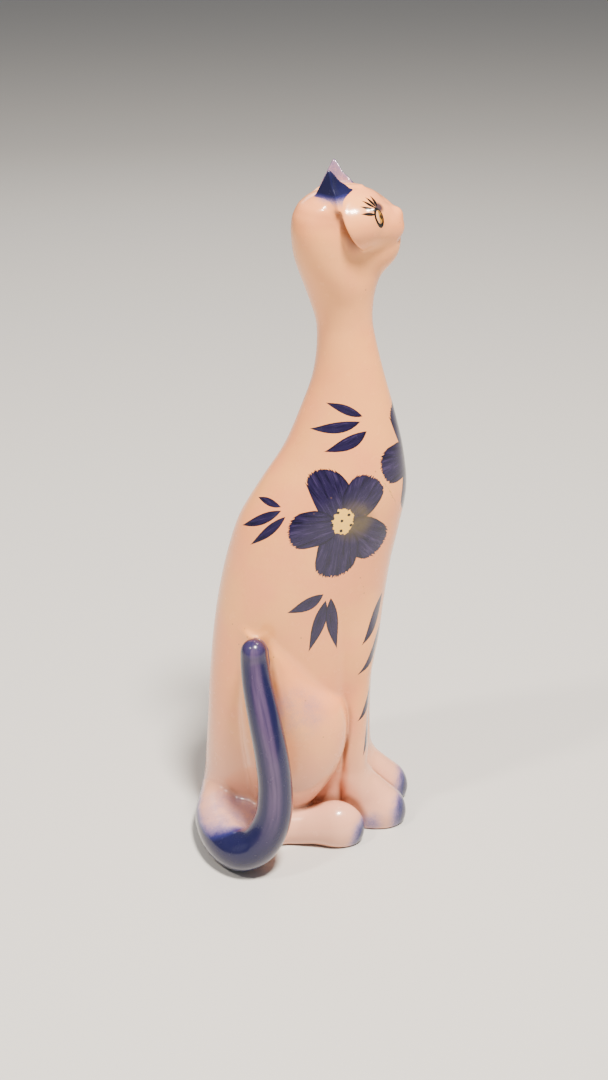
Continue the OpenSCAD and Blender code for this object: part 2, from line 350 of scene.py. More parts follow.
# The tail's centre line from its root to its tip, and its radius
TAIL = [
    (-52, -8, 16, 13),
    (-56.5, -22, 15.5, 14.4),
    (-56.5, -41, 15, 14.7),
    (-51.5, -58, 14.6, 14.5),
    (-43, -71.5, 14.4, 14.4),
    (-32, -79.5, 16, 14.1),
    (-20.5, -81.3, 25, 13.2),
    (-12.5, -78.6, 42, 12.2),
    (-11, -74.6, 62, 11.5),
    (-13.5, -70.4, 85, 11.1),
    (-18.5, -64.4, 108, 10.7),
    (-24, -56.6, 130, 9.9),
    (-26.3, -52.4, 145, 9.2),
    (-26.8, -51.5, 152.4, 8.8),
]


def catmull(points, steps):
    """Points along a smooth curve through the given ones."""
    p = np.array(points, float)
    p = np.concatenate([[2 * p[0] - p[1]], p, [2 * p[-1] - p[-2]]])
    out = []
    for i in range(len(points) - 1):
        a, b, c, d = p[i:i + 4]
        for u in np.arange(steps) / steps:
            out.append(
                0.5 * (2 * b + (c - a) * u + (2 * a - 5 * b + 4 * c - d) * u ** 2
                       + (3 * b - a - 3 * c + d) * u ** 3)
            )
    out.append(p[-2])
    return np.array(out)


def tail_path():
    """Places and radii along the tail, eight to each stretch."""
    return catmull(TAIL, 8)


def tail_mesh():
    """A round tube along the tail's centre line, with a domed tip."""
    n = 40
    path = tail_path()
    along = np.gradient(path[:, :3], axis=0)
    along /= np.linalg.norm(along, axis=1)[:, None]
    dome = np.radians([12, 24, 36, 48, 60, 70, 79, 86])
    r = path[-1, 3]
    centres = np.concatenate([path[:, :3], path[-1, :3] + np.outer(r * np.sin(dome), along[-1])])
    radii = np.concatenate([path[:, 3], r * np.cos(dome)])
    along = np.concatenate([along, np.repeat(along[-1:], len(dome), 0)])
    across = np.array([1, 1, 0]) / math.sqrt(2)
    n1 = across - along * (along @ across)[:, None]
    n1 /= np.linalg.norm(n1, axis=1)[:, None]
    n2 = np.cross(along, n1)
    a = np.arange(n) * 2 * np.pi / n
    cos, sin = np.cos(a)[None, :, None], np.sin(a)[None, :, None]
    rings = centres[:, None] + radii[:, None, None] * (cos * n1[:, None] + sin * n2[:, None])
    return rings.reshape(-1, 3), tube_quads(len(centres), n)


# ---------------------------------------------------------------- the cat's fields

def ramp(v, low, high):
    """0 below low, 1 above high, smooth between."""
    t = np.clip((v - low) / (high - low), 0, 1)
    return t * t * (3 - 2 * t)


def head_details(grid, core):
    """Adds the face mask with its ear-to-jaw edge, muzzle, nose, chin and eyelids to the skull."""
    behind = -grid.plane((25.5, -22, 425), (0.9, -0.12, 0.435))
    mask = grid.ellipsoid((22, 0, 417.5), (32, 29, 20.5), lean=8)
    mask = trim(mask, behind, 1.2)
    softness = 1.2 + 9 * ramp(grid.x - 0.6 * (grid.z - 408), 34, 48) * ramp(grid.z, 402, 414)
    recess = 3 * np.exp(-((behind - 4) / 14) ** 2) * ramp(np.abs(grid.y), 8, 18)
    skull = core + recess * ramp(grid.z, 378, 402) * (1 - ramp(grid.z, 418, 434))
    head = merge(skull, mask, softness)
    muzzle = grid.ellipsoid((46, 0, 416.6), (12.8, 11.5, 8.4), lean=-8)
    head = merge(head, muzzle, 7)
    nose = grid.capsule((47.5, 0, 424.2), (53.4, 0, 422.6), 4.3, 4.5)
    head = merge(head, nose, 2.6)
    chin = grid.ellipsoid((44.5, 0, 403), (11.4, 8.6, 10), lean=14)
    head = merge(head, chin, 9)
    lips = grid.capsule((60.4, 0, 409.8), (57.6, -4, 408.4), 1.6, 0.8)
    head = carve(head, lips, 3)
    stop = grid.capsule((51, 0, 436), (48, -7, 437), 5.4, 4.4)
    head = carve(head, stop, 5)
    eye = grid.ellipsoid((40.8, -17.6, 424.4), (4.2, 3.0, 6.0), lean=-18)
    return merge(head, eye, 3)


def ear_field(grid):
    """A three-sided ear with its outer side, front and inner side, and the dish in its front."""
    tip = np.array((15.4, -17.2, 452.6))
    back = np.array((8.0, -12.5, 438.0))
    outer = np.array((21.5, -24.5, 434.0))
    inner = np.array((28.5, -8.5, 439.0))

    def face(a, b, c):
        normal = np.cross(b - a, c - a)
        centre = (tip + back + outer + inner) / 4
        if normal.dot(centre - a) > 0:
            normal = -normal
        return grid.plane(a, normal)

    ear = trim(face(tip, back, outer), face(tip, outer, inner), 1.0)
    ear = trim(ear, face(tip, back, inner), 1.6)
    ear = trim(ear, grid.plane(back, (0, 0.2, -1)) - 6, 1.0)
    middle = (tip + outer + inner) / 3
    front = np.cross(outer - tip, inner - tip)
    front /= np.linalg.norm(front)
    if front[0] < 0:
        front = -front
    dish = middle + front * 8.6
    return ear, grid.ellipsoid(dish, (10.2, 10.2, 10.2))


def add_forelegs(grid, cat):
    """Hollows the flanks behind the forelegs, and adds the forelegs with their paws and rear crease."""
    hollow = grid.ellipsoid((21, -42, 32), (14, 20, 25))
    cat = carve(cat, hollow, 7)
    foreleg = grid.of_mesh(*limb_mesh(FORELEG, 0.72))
    instep = grid.capsule((38, -13.4, 34), (57.5, -14.6, 12.5), 10.5, 14)
    foreleg = merge(foreleg, instep, 6)
    forepaw = grid.ellipsoid((50, -14.9, 7), (23.4, 14.4, 18))
    foreleg = merge(foreleg, forepaw, 4)
    cat = merge(cat, foreleg, 3 + 6 * ramp(grid.z, 80, 150))

    crease_x = 27.5 + 0.09 * (grid.z - 100) - 0.0011 * (grid.z - 100) ** 2
    crease = np.exp(-((grid.x - crease_x) / 3.2) ** 2)
    crease = crease * ramp(grid.z, 88, 104) * (1 - ramp(grid.z, 150, 196))
    return cat + 1.1 * crease * ramp(np.abs(grid.y), 14, 24), foreleg


def add_hind_legs(grid, cat):
    """Adds the folded haunches, the undercut below them, and the hind paws."""
    haunch = grid.of_mesh(*limb_mesh(HAUNCH, 0.8))
    cat = merge(cat, haunch, 2.2 + 5 * ramp(grid.z, 110, 145))
    undercut = grid.capsule((-30, -57, 24), (26, -55, 31), 11, 12)
    cat = carve(cat, undercut, 8)
    foot = grid.capsule((-20, -39.6, 6), (24, -40.4, 13), 13.4, 14)
    toes = grid.ellipsoid((28.5, -40, 10), (17.6, 12.8, 18.2))
    hind_paw = merge(foot, toes, 6)
    return merge(cat, hind_paw, 2.6), haunch, hind_paw


def add_tail(grid, cat):
    """Adds the web of clay between the tail's root and the body, and the tail."""
    web = grid.ellipsoid((-38, -48, 6), (25.5, 33, 20))
    web = np.where(grid.y > 0, BAND, web)
    cat = merge(cat, web, 9)
    tail = grid.of_mesh(*tail_mesh())
    at_root = ramp(-grid.x, 38, 56) * ramp(grid.y, -62, -44)
    return merge(cat, tail, 3.2 + 6 * at_root), tail, web


def sculpt(grid):
    """The whole cat as one field, and the field of each casting to tell them apart."""
    core = grid.of_mesh(*core_mesh())
    ear, dish = ear_field(grid)
    cat = merge(head_details(grid, core), ear, 2.6)
    cat = carve(cat, dish, 1.2)
    cat, foreleg = add_forelegs(grid, cat)
    cat, haunch, hind_paw = add_hind_legs(grid, cat)
    cat, tail, web = add_tail(grid, cat)
    # A level underside, with a shallow recess inside the foot ring
    cat = carve(cat, grid.z, 1.6)
    recess = np.maximum(core + 4.4, grid.z - 7)
    return np.maximum(cat, -recess), {
        "core": np.minimum(core, web),
        "ear": ear,
        "foreleg": foreleg,
        "haunch": haunch,
        "hind_paw": hind_paw,
        "tail": tail,
    }


BODY_VOXEL = 1.5
HEAD_VOXEL = 0.72
# The head is cut off at this height, and both grids run past it by the overlap
NECK_Z = 358.0
OVERLAP = 3.0


def wrap_table():
    """Arc length round the torso loft from the front centre line, by height and angle."""
    heights = np.arange(LOFT_LOW, LOFT_HIGH, 4.0)
    angles = np.linspace(0, np.pi, 97)
    table = []
    for row in curve_through(CORE, heights):
        x, y = outline(row, angles)
        step = np.hypot(np.diff(x), np.diff(y))
        table.append(np.concatenate([[0], np.cumsum(step)]))
    return heights, angles, np.array(table)


def wrap(points):
    """Painting coordinates in mm: arc length round from the front, left positive, and height."""
    heights, angles, table = wrap_table()
    z = np.clip(points[:, 2], heights[0], heights[-1] - 0.01)
    _, back, front, middle, half, squareness, _ = curve_through(CORE, z).T
    ahead = points[:, 0] - middle
    reach = np.where(ahead > 0, front - middle, middle - back)
    c = power(ahead / reach, 1 / squareness)
    s = np.abs(points[:, 1] / half) ** (1 / squareness)
    a = np.arctan2(s, c)
    row = (z - heights[0]) / (heights[1] - heights[0])
    column = np.clip(a / angles[1], 0, len(angles) - 1.001)
    i, j = row.astype(int), column.astype(int)
    i = np.minimum(i, len(heights) - 2)
    f, g = row - i, column - j
    arc = (
        (1 - f) * ((1 - g) * table[i, j] + g * table[i, j + 1])
        + f * ((1 - g) * table[i + 1, j] + g * table[i + 1, j + 1])
    )
    return np.stack([arc * np.sign(points[:, 1]), points[:, 2]], 1)


def make_grids():
    """The voxel blocks of the body and of the head."""
    body = Grid((-78.0, -102.0, -3.0), (80.0, 60.0, NECK_Z + OVERLAP), BODY_VOXEL)
    head = Grid((-14.0, -36.0, NECK_Z - OVERLAP), (66.0, 36.0, 456.0), HEAD_VOXEL)
    return body, head


# ---------------------------------------------------------------- castings

def edges_of(faces):
    """Each undirected edge once, with its one or two faces; the second is -1 at a border."""
    n = faces.shape[1]
    a = faces.ravel()
    b = np.roll(faces, -1, axis=1).ravel()
    face = np.repeat(np.arange(len(faces)), n)
    key = np.minimum(a, b) * (faces.max() + 1) + np.maximum(a, b)
    order = np.argsort(key, kind="stable")
    key, a, b, face = key[order], a[order], b[order], face[order]
    first = np.concatenate([[True], key[1:] != key[:-1]])
    start = np.flatnonzero(first)
    count = np.diff(np.append(start, len(key)))
    second = np.where(count > 1, face[np.minimum(start + 1, len(face) - 1)], -1)
    return np.stack([a[start], b[start]], 1), np.stack([face[start], second], 1)


def connected(count, pairs):
    """A group number for each of count things, where pairs join them."""
    group = np.arange(count)
    while True:
        low = np.minimum(group[pairs[:, 0]], group[pairs[:, 1]])
        new = group.copy()
        np.minimum.at(new, pairs[:, 0], low)
        np.minimum.at(new, pairs[:, 1], low)
        new = new[new]
        if (new == group).all():
            return group
        group = new


# What is added to each casting's distance before the nearest one takes a face
HANDICAP = {"core": 0.0, "ear": 0.6, "foreleg": 0.3, "haunch": 0.6, "hind_paw": 0.2, "tail": -0.6}
PAIRED = ("ear", "foreleg", "haunch", "hind_paw")
PIECES = ["shell", "tail"] + [side + "_" + kind for kind in PAIRED for side in ("right", "left")]


def name_faces(grid, part, centres):
    """The number of the casting in PIECES that each face belongs to."""
    fields = np.stack([grid.sample(part[k], centres) + HANDICAP[k] for k in HANDICAP], 1)
    kind = fields.argmin(1)
    left = centres[:, 1] > 0
    number = np.zeros(len(centres), int)
    for k, kind_name in enumerate(HANDICAP):
        for side, on_side in (("right", ~left), ("left", left)):
            node = {"core": "shell", "tail": "tail"}.get(kind_name, side + "_" + kind_name)
            number[(kind == k) & on_side] = PIECES.index(node)
    return number


def tidy_faces(number, faces):
    """Smooths the borders between castings and gives loose islands to what surrounds them."""
    edges, sides = edges_of(faces)
    inner = sides[sides[:, 1] >= 0]
    for _ in range(6):
        votes = np.zeros((len(faces), len(PIECES)))
        # A face's own vote counts for one and a half neighbours
        votes[np.arange(len(faces)), number] = 1.5
        np.add.at(votes, (inner[:, 0], number[inner[:, 1]]), 1)
        np.add.at(votes, (inner[:, 1], number[inner[:, 0]]), 1)
        number = votes.argmax(1)
    same = inner[number[inner[:, 0]] == number[inner[:, 1]]]
    group = connected(len(faces), same)
    size = np.bincount(group, minlength=len(faces))
    largest = {}
    for k in np.unique(number):
        groups = np.unique(group[number == k])
        largest[k] = groups[size[groups].argmax()]
    loose = np.array([group[i] != largest[number[i]] for i in range(len(faces))])
    while loose.any():
        a, b = inner[:, 0], inner[:, 1]
        take = np.concatenate([np.stack([a, b], 1)[loose[a] & ~loose[b]],
                               np.stack([b, a], 1)[loose[b] & ~loose[a]]])
        if not len(take):
            break
        number[take[:, 0]] = number[take[:, 1]]
        loose[take[:, 0]] = False
    return number, edges, sides


def smooth_borders(grid, field, points, number, edges, sides):
    """Evens the zigzag of the borders, keeping their points on the clay surface."""
    shared = sides[:, 1] >= 0
    border = shared.copy()
    border[shared] = number[sides[shared, 0]] != number[sides[shared, 1]]
    line = edges[border]
    if not len(line):
        return points
    degree = np.bincount(line.ravel(), minlength=len(points))
    movable = degree == 2
    for _ in range(12):
        total = np.zeros_like(points)
        np.add.at(total, line[:, 0], points[line[:, 1]])
        np.add.at(total, line[:, 1], points[line[:, 0]])
        points[movable] = 0.5 * points[movable] + 0.25 * total[movable]
    off, slope = grid.way_out(field, points[movable])
    points[movable] -= off[:, None] * slope
    return points


def clip_at_neck(points, quads, keep_below):
    """Cuts the mesh level at the neck joint and keeps one side of it."""
    shape = bmesh.new()
    made = bpy.data.meshes.new("clip")
    made.from_pydata(points.tolist(), [], quads.tolist())
    shape.from_mesh(made)
    bpy.data.meshes.remove(made)
    normal = (0, 0, 1) if keep_below else (0, 0, -1)
    everything = shape.verts[:] + shape.edges[:] + shape.faces[:]
    bmesh.ops.bisect_plane(
        shape, geom=everything, plane_co=(0, 0, NECK_Z), plane_no=normal, clear_outer=True, dist=0.02
    )
    bmesh.ops.triangulate(shape, faces=[f for f in shape.faces if len(f.verts) > 4])
    shape.verts.index_update()
    kept = np.array([v.co[:] for v in shape.verts])
    # A triangle repeats its last corner, so that all faces are rows of four
    corners = [[v.index for v in f.verts] for f in shape.faces]
    rows = np.array([c if len(c) == 4 else c + c[-1:] for c in corners])
    shape.free()
    return kept, rows


# Thickness of the visual castings, and how far from the skin other clay shelters it
WALL = 2.6
SHELTER_REACH = 5


def give_wall(grid, field, points, normals, faces):
    """Adds the inner skin of the slip-cast wall and its rims, which close the casting."""
    depth = -grid.sample(field, points - WALL * normals)
    inner = points - np.clip(depth, 0.15 * WALL, WALL)[:, None] * normals
    count = len(points)
    directed = {(a, b) for face in faces for a, b in zip(face, face[1:] + face[:1])}
    rims = [[b, a, a + count, b + count] for a, b in sorted(directed) if (b, a) not in directed]
    inside = [[i + count for i in reversed(face)] for face in faces]
    return np.concatenate([points, inner]), faces + inside + rims


def castings(grid, keep_below):
    """The clay surface in one grid, cut at the neck and split into its castings."""
    field, part = sculpt(grid)
    points, quads = grid.surface(field)
    points, faces = clip_at_neck(points, quads, keep_below)
    number = name_faces(grid, part, points[faces].mean(1))
    number, edges, sides = tidy_faces(number, faces)
    points = smooth_borders(grid, field, points, number, edges, sides)
    slope = grid.slope(field, points)
    normals = slope / np.maximum(np.linalg.norm(slope, axis=1), 1e-6)[:, None]
    # How closely other clay hems each point in, for the crease colour: partly pooled glaze, partly
    # painted shade
    open_air = grid.sample(field, points + SHELTER_REACH * normals) / SHELTER_REACH
    crease_pool_and_shade = 1 - np.clip(open_air, 0, 1)
    out = {}
    for k in np.unique(number):
        chosen = faces[number == k]
        used = np.unique(chosen)
        place = np.full(len(points), -1)
        place[used] = np.arange(len(used))
        rows = [list(dict.fromkeys(r)) for r in place[chosen].tolist()]
        rows = [r for r in rows if len(r) > 2]
        closed, rows = give_wall(grid, field, points[used], normals[used], rows)
        out[PIECES[k]] = {
            "points": closed,
            "faces": rows,
            "normals": np.concatenate([normals[used], -normals[used]]),
            "crease_pool_and_shade": np.tile(crease_pool_and_shade[used], 2),
        }
    return out


# ---------------------------------------------------------------- airbrush

def nearness(points, place, reach):
    """1 at a place, 0 beyond its reach, smooth between."""
    gap = np.linalg.norm(points - np.array(place), axis=1)
    return 1 - ramp(gap, 0.25 * reach, reach)


def tail_coordinates(points):
    """How far each point is along the tail from its root, and how far it is outside the tail's skin."""
    path = tail_path()[:, :3]
    radius = tail_path()[:, 3]
    along = np.concatenate([[0], np.cumsum(np.linalg.norm(np.diff(path, axis=0), axis=1))])
    gap = np.full(len(points), np.inf)
    best = np.zeros(len(points))
    for k in range(len(path) - 1):
        step = path[k + 1] - path[k]
        t = np.clip((points - path[k]) @ step / step.dot(step), 0, 1)
        foot = path[k] + t[:, None] * step
        d = np.linalg.norm(points - foot, axis=1) - radius[k]
        near = d < gap
        gap[near] = d[near]
        best[near] = (along[k] + t * (along[k + 1] - along[k]))[near]
    return best, gap


# Blue sprayed on the fore toes, hind toes and haunch: middle, reach and strength
SPRAYED = [((76, -15, 9), 24, 0.95), ((50, -43, 6), 21, 0.95), ((2, -49, 108), 30, 0.2)]


def airbrush(points, normals, name):
    """How much blue spray, how much pale violet (the ears' own colour, and painted light on the tail),
    and how far on the clean shelf each point is.
    """
    right = points * (1, -1, 1)
    side = np.where((points[:, 1] > 0)[:, None], right, points)
    blue = np.max([strength * nearness(side, spot, reach) for spot, reach, strength in SPRAYED], axis=0)
    lilac_and_painted_light = np.zeros(len(points))
    along, gap = tail_coordinates(points)
    near_root = 1 - ramp(gap, 0, 12)
    low = 1 - ramp(points[:, 2], 16, 44)
    outward = ramp(-points[:, 0] - 0.6 * points[:, 1] - 18 * normals[:, 2], 62, 82)
    blue = np.maximum(blue, 0.95 * near_root * low * outward)
    blue = np.maximum(blue, 0.3 * near_root * low)
    if name == "tail":
        # Painted light on the tail: a pale violet stripe where the skin faces the camera, and a pale
        # tip where it faces up, with its blue taken down there
        lilac_and_painted_light = 0.75 * ramp(normals @ (0.1, -0.9, 0.42), 0.84, 1.03) * ramp(along, 90, 140)
        tip = ramp(along, 222, 250) * ramp(normals @ (0.05, -0.7, 0.7), 0.3, 0.9)
        lilac_and_painted_light = np.maximum(lilac_and_painted_light, 0.9 * tip)
        root_edge = 1 - ramp(along, 4, 16)
        blue = 1.12 - np.maximum(0.75 * root_edge, ramp(gap, 1.5, 6.5)) - 0.75 * tip
        blue = blue * (1 - (1 - ramp(along, 42, 78)) * ramp(points[:, 2], 15, 30))
    # The clean top between the tail's root and the body
    round_shelf = np.hypot((points[:, 0] + 44) / 25, (points[:, 1] + 53) / 27)
    shelf = (1 - ramp(round_shelf, 0.5, 1.2)) * ramp(normals[:, 2], 0.2, 0.75)
    shelf = shelf * (1 - ramp(points[:, 2], 34, 42))
    blue = blue * (1 - shelf) + 0.26 * shelf
    if name.endswith("ear"):
        inward = ramp(-np.sign(points[:, 1]) * normals[:, 1], 0.15, 0.6)
        blue = 1.25 * ramp(points[:, 2], 429, 441) * (1 - 0.72 * inward)
        lilac_and_painted_light = 0.5 * inward * ramp(points[:, 2], 432, 440)
    elif name == "head_shell":
        tip = nearness(side, (15, -18, 446), 17)
        blue = np.maximum(blue, 0.9 * tip)
    return blue, lilac_and_painted_light, shelf


# ---------------------------------------------------------------- node helpers

class Nodes:
    """Short calls that add nodes to one tree and link them up."""

    def __init__(self, tree):
        self.tree = tree

    def new(self, kind, **settings):
        node = self.tree.nodes.new(kind)
        for key, value in settings.items():
            setattr(node, key, value)
        return node

    def feed(self, socket, value):
        if isinstance(value, bpy.types.NodeSocket):
            self.tree.links.new(value, socket)
        elif value is not None:
            socket.default_value = value

    def math(self, operation, a, b=None, c=None, clamp=False):
        node = self.new("ShaderNodeMath", operation=operation, use_clamp=clamp)
        for socket, value in zip(node.inputs, (a, b, c)):
            self.feed(socket, value)
        return node.outputs[0]

    def plus(self, a, b, clamp=False):
        return self.math("ADD", a, b, clamp=clamp)

    def minus(self, a, b):
        return self.math("SUBTRACT", a, b)

    def times(self, a, b):
        return self.math("MULTIPLY", a, b)

    def vector(self, operation, a, b=None, scale=None):
        node = self.new("ShaderNodeVectorMath", operation=operation)
        self.feed(node.inputs[0], a)
        self.feed(node.inputs[1], b)
        if operation == "SCALE":
            self.feed(node.inputs["Scale"], scale)
        scalar = operation in ("DOT_PRODUCT", "LENGTH", "DISTANCE")
        return node.outputs["Value" if scalar else "Vector"]

    def combine(self, x, y, z=0.0):
        node = self.new("ShaderNodeCombineXYZ")
        for socket, value in zip(node.inputs, (x, y, z)):
            self.feed(socket, value)
        return node.outputs[0]

    def split(self, vector):
        node = self.new("ShaderNodeSeparateXYZ")
        self.feed(node.inputs[0], vector)
        return node.outputs

    def mix(self, share, a, b):
        node = self.new("ShaderNodeMix", data_type="RGBA")
        self.feed(node.inputs["Factor"], share)
        for socket, value in ((node.inputs[6], a), (node.inputs[7], b)):
            self.feed(socket, (*value, 1) if isinstance(value, tuple) else value)
        return node.outputs[2]

    def blend(self, share, a, b):
        node = self.new("ShaderNodeMix", data_type="FLOAT")
        self.feed(node.inputs["Factor"], share)
        self.feed(node.inputs[2], a)
        self.feed(node.inputs[3], b)
        return node.outputs[0]

    def group(self, tree, **values):
        """A node group with its inputs given by name."""
        node = self.new("ShaderNodeGroup", node_tree=tree)
        for key, value in values.items():
            self.feed(node.inputs[key], value)
        return node.outputs

    def step(self, value, low, high, to_low=0.0, to_high=1.0):
        node = self.new("ShaderNodeMapRange", interpolation_type="SMOOTHSTEP", clamp=True)
        for socket, given in zip(node.inputs, (value, low, high, to_low, to_high)):
            self.feed(socket, given)
        return node.outputs[0]

    def noise(self, vector, scale, detail=2.0, roughness=0.5):
        node = self.new("ShaderNodeTexNoise", noise_dimensions="3D")
        self.feed(node.inputs["Vector"], vector)
        self.feed(node.inputs["Scale"], scale)
        self.feed(node.inputs["Detail"], detail)
        self.feed(node.inputs["Roughness"], roughness)
        return node.outputs["Fac"]

    def attribute(self, name, output="Fac"):
        return self.new("ShaderNodeAttribute", attribute_name=name).outputs[output]


def rgb(red, green, blue):
    """A colour from 0 to 255 display values, in linear light."""
    out = []
    for value in (red, green, blue):
        v = value / 255
        out.append(v / 12.92 if v <= 0.04045 else ((v + 0.055) / 1.055) ** 2.4)
    return tuple(out)


# Glaze, airbrush, brush paint, eye and bare clay
CREAM = rgb(255, 172, 102)
CREAM_PINK = rgb(252, 160, 102)
PALE = rgb(228, 170, 146)
# Brown of the creases, partly pooled glaze and partly painted shade
GLAZE_POOL_AND_SHADE = rgb(130, 76, 52)
LAVENDER = rgb(140, 120, 156)
AIRBRUSH_BLUE = rgb(42, 42, 98)
NAVY = rgb(16, 16, 48)
LILAC = rgb(104, 84, 116)
PAINT_DARK = rgb(12, 8, 34)
PAINT_MID = rgb(32, 24, 60)
PAINT_LIGHT = rgb(70, 58, 98)
OLIVE = rgb(100, 86, 54)
POLLEN = rgb(255, 200, 84)
BLACK = rgb(14, 12, 14)
FOOT_BROWN = rgb(118, 84, 62)
# Blue-grey of the painted shadow under the upper lid
LID_SHADOW_BLUE = rgb(30, 34, 52)
EYE_CREAM = rgb(240, 176, 122)
IRIS_BROWN = rgb(90, 54, 14)
IRIS_GOLD = rgb(214, 150, 40)
CLAY = rgb(226, 214, 196)
CLAY_STAIN = rgb(196, 178, 154)
CLAY_GRAIN = rgb(140, 120, 98)


def group_tree(name, inputs):
    """An empty node group for a brush stroke, its helper, and its input and output sockets."""
    tree = bpy.data.node_groups.new(name, "ShaderNodeTree")
    for direction, sockets in (("INPUT", inputs), ("OUTPUT", ("Mask", "Inside"))):
        for socket in sockets:
            tree.interface.new_socket(socket, in_out=direction, socket_type="NodeSocketFloat")
    n = Nodes(tree)
    return tree, n, n.new("NodeGroupInput").outputs, n.new("NodeGroupOutput").inputs


def along_and_across(n, place, root, tip, width):
    """Place in a stroke: share of its length from the root, and of its half width across."""
    length = math.dist(root, tip)
    unit = ((tip[0] - root[0]) / length, (tip[1] - root[1]) / length)
    away = n.vector("SUBTRACT", place, (*root, 0))
    along = n.vector("DOT_PRODUCT", away, (unit[0] / length, unit[1] / length, 0))
    across = n.vector("DOT_PRODUCT", away, (-unit[1] * 2 / width, unit[0] * 2 / width, 0))
    return along, across


def leaf_group():
    """One pointed brush stroke: a fat belly near its root and a thin tail at its tip."""
    tree, n, given, out = group_tree("leaf", ("Along", "Across", "Half", "Bend", "Edge"))
    t = n.plus(given["Along"], 0.0, clamp=True)
    arch = n.times(n.times(t, n.minus(1.0, t)), 4.0)
    across = n.minus(given["Across"], n.times(given["Bend"], arch))
    belly = n.math("SINE", n.times(n.math("POWER", t, 0.78), math.pi))
    belly = n.math("POWER", n.math("MAXIMUM", belly, 0.0), 1.15)
    inside = n.times(n.minus(belly, n.math("ABSOLUTE", across)), given["Half"])
    inside = n.plus(inside, n.times(given["Edge"], 0.22))
    n.feed(out["Mask"], n.step(inside, 0.0, 0.22))
    n.feed(out["Inside"], n.step(inside, 0.1, 1.3))
    return tree


def petal_group():
    """One petal: brush strokes from the flower's middle out to a broad ragged end."""
    tree, n, given, out = group_tree("petal", ("Along", "Across", "Bend", "Seed"))
    q = n.math("DIVIDE", n.minus(given["Along"], 0.56), 0.46)
    outer = n.math("POWER", n.math("MAXIMUM", q, 0.0), 3.6)
    inner = n.math("POWER", n.math("MAXIMUM", n.times(q, -1.0), 0.0), 2.2)
    end = n.plus(outer, inner)
    side = n.minus(given["Across"], n.times(given["Bend"], n.times(q, q)))
    body = n.plus(end, n.times(side, side))
    teeth = n.new("ShaderNodeTexNoise", noise_dimensions="1D")
    n.feed(teeth.inputs["W"], n.math("MULTIPLY_ADD", side, 15.0, given["Seed"]))
    n.feed(teeth.inputs["Scale"], 1.0)
    teeth = n.minus(teeth.outputs["Fac"], 0.5)
    ragged = n.times(teeth, n.step(q, 0.3, 1.0, 0.1, 0.9))
    inside = n.plus(n.minus(1.0, body), ragged)
    n.feed(out["Mask"], n.step(inside, 0.0, 0.06))
    n.feed(out["Inside"], n.step(inside, 0.02, 0.3))
    return tree


# ---------------------------------------------------------------- motifs

# Each flower's middle on the wrap, its turn in degrees, and -1 if it is mirrored
FLOWERS = [((-54.6, 239.4), 0, 1), ((7, 273), -12, 1), ((56, 236), 8, -1)]
# Petals of a flower: direction, length and width
PETALS = [(112, 34, 27), (52, 34, 23), (-37, 37, 26), (-90, 37, 27), (196, 34, 24)]

# Leaf strokes on the right side and down the front: root, tip, width and bend
LEAVES = [
    ((-29.5, 304.5), (-50.5, 312), 6.4, -0.3),
    ((-32, 301.5), (-68, 294.5), 6.4, 0.25),
    ((-30, 295.5), (-61.5, 282.5), 7.2, 0.35),
    ((-95.5, 245), (-118.5, 244.5), 4.6, -0.3),
    ((-95, 243), (-127, 224.5), 6.6, 0.25),
    ((-91.5, 240), (-114.5, 216), 6.4, 0.2),
    ((-59.5, 190), (-82, 176), 8.6, 0.3),
    ((-57.5, 185.5), (-65.5, 147.5), 8.4, 0.2),
    ((-54.5, 187), (-46, 147.5), 8.4, -0.2),
    ((-11, 179), (-30.5, 147), 9, 0.1),
    ((-10, 155), (-29, 124), 8.4, 0.1),
    ((-8.5, 120), (-22, 86), 8, 0.1),
    ((-7, 94), (-18, 57), 7, 0.1),
]
# Strokes that follow one another in the list go in different layers, so that they can overlap
LEAF_LAYERS = ("leaf_a", "leaf_b", "leaf_c")
POLLEN_DOTS = [(-3.7, 6.1), (3.2, 4.5), (-0.7, 0.7), (-6.6, -1.8), (5.4, -2.4), (-0.3, -6)]


def left_leaves():
    """The same strokes on the cat's left side, each a little moved as a hand would."""
    out = []
    for k, (root, tip, width, bend) in enumerate(LEAVES):
        lean = 0.8 * ((k * 7) % 5 - 2)
        moved_root = (1.5 - root[0], root[1] - 3)
        moved_tip = (1.5 - tip[0] + lean, tip[1] - 3 - lean)
        out.append((moved_root, moved_tip, width, -bend))
    return out


# Third coordinate of points that are near no stroke, and how near a leaf's stroke counts
AWAY = -50.0
LEAF_REACH = 4.5


def leaf_places(flat, strokes):
    """For each point, its place in the nearest of the strokes, and that stroke's bend and seed."""
    best = np.full(len(flat), np.inf)
    place = np.tile((9.0, 9.0, AWAY), (len(flat), 1))
    for k, (root, tip, width, bend) in enumerate(strokes):
        length = math.dist(root, tip)
        unit = (np.array(tip) - root) / length
        away = flat - np.array(root)
        along = away @ unit
        across = away @ np.array((-unit[1], unit[0]))
        share = np.clip(along / length, 0, 1)
        bent = across * 2 / width - bend * 4 * share * (1 - share)
        beside = (np.abs(bent) - 1) * width / 2
        gap = np.maximum(np.abs(along - length / 2) - length / 2, beside)
        near = gap < best
        best[near] = gap[near]
        place[near] = np.stack([along[near] / length, bent[near], np.full(near.sum(), k * 3.7)], 1)
    place[best > LEAF_REACH, 2] = AWAY
    return place


def flower_places(flat):
    """For each point, its place from the nearest flower's middle, turned upright."""
    best = np.full(len(flat), np.inf)
    second = best.copy()
    place = np.zeros((len(flat), 3))
    for k, (centre, turn, mirrored) in enumerate(FLOWERS):
        away = flat - np.array(centre)
        gap = np.linalg.norm(away, axis=1)
        near = gap < best
        second = np.where(near, best, np.minimum(second, gap))
        best[near] = gap[near]
        a = math.radians(-turn)
        x = away[:, 0] * mirrored
        turned = np.stack([x * math.cos(a) - away[:, 1] * math.sin(a),
                           x * math.sin(a) + away[:, 1] * math.cos(a), np.full(len(flat), k * 5.3)], 1)
        place[near] = turned[near]
    # Points about as far from two flowers belong to neither
    place[best > 0.92 * second, 2] = AWAY
    return place


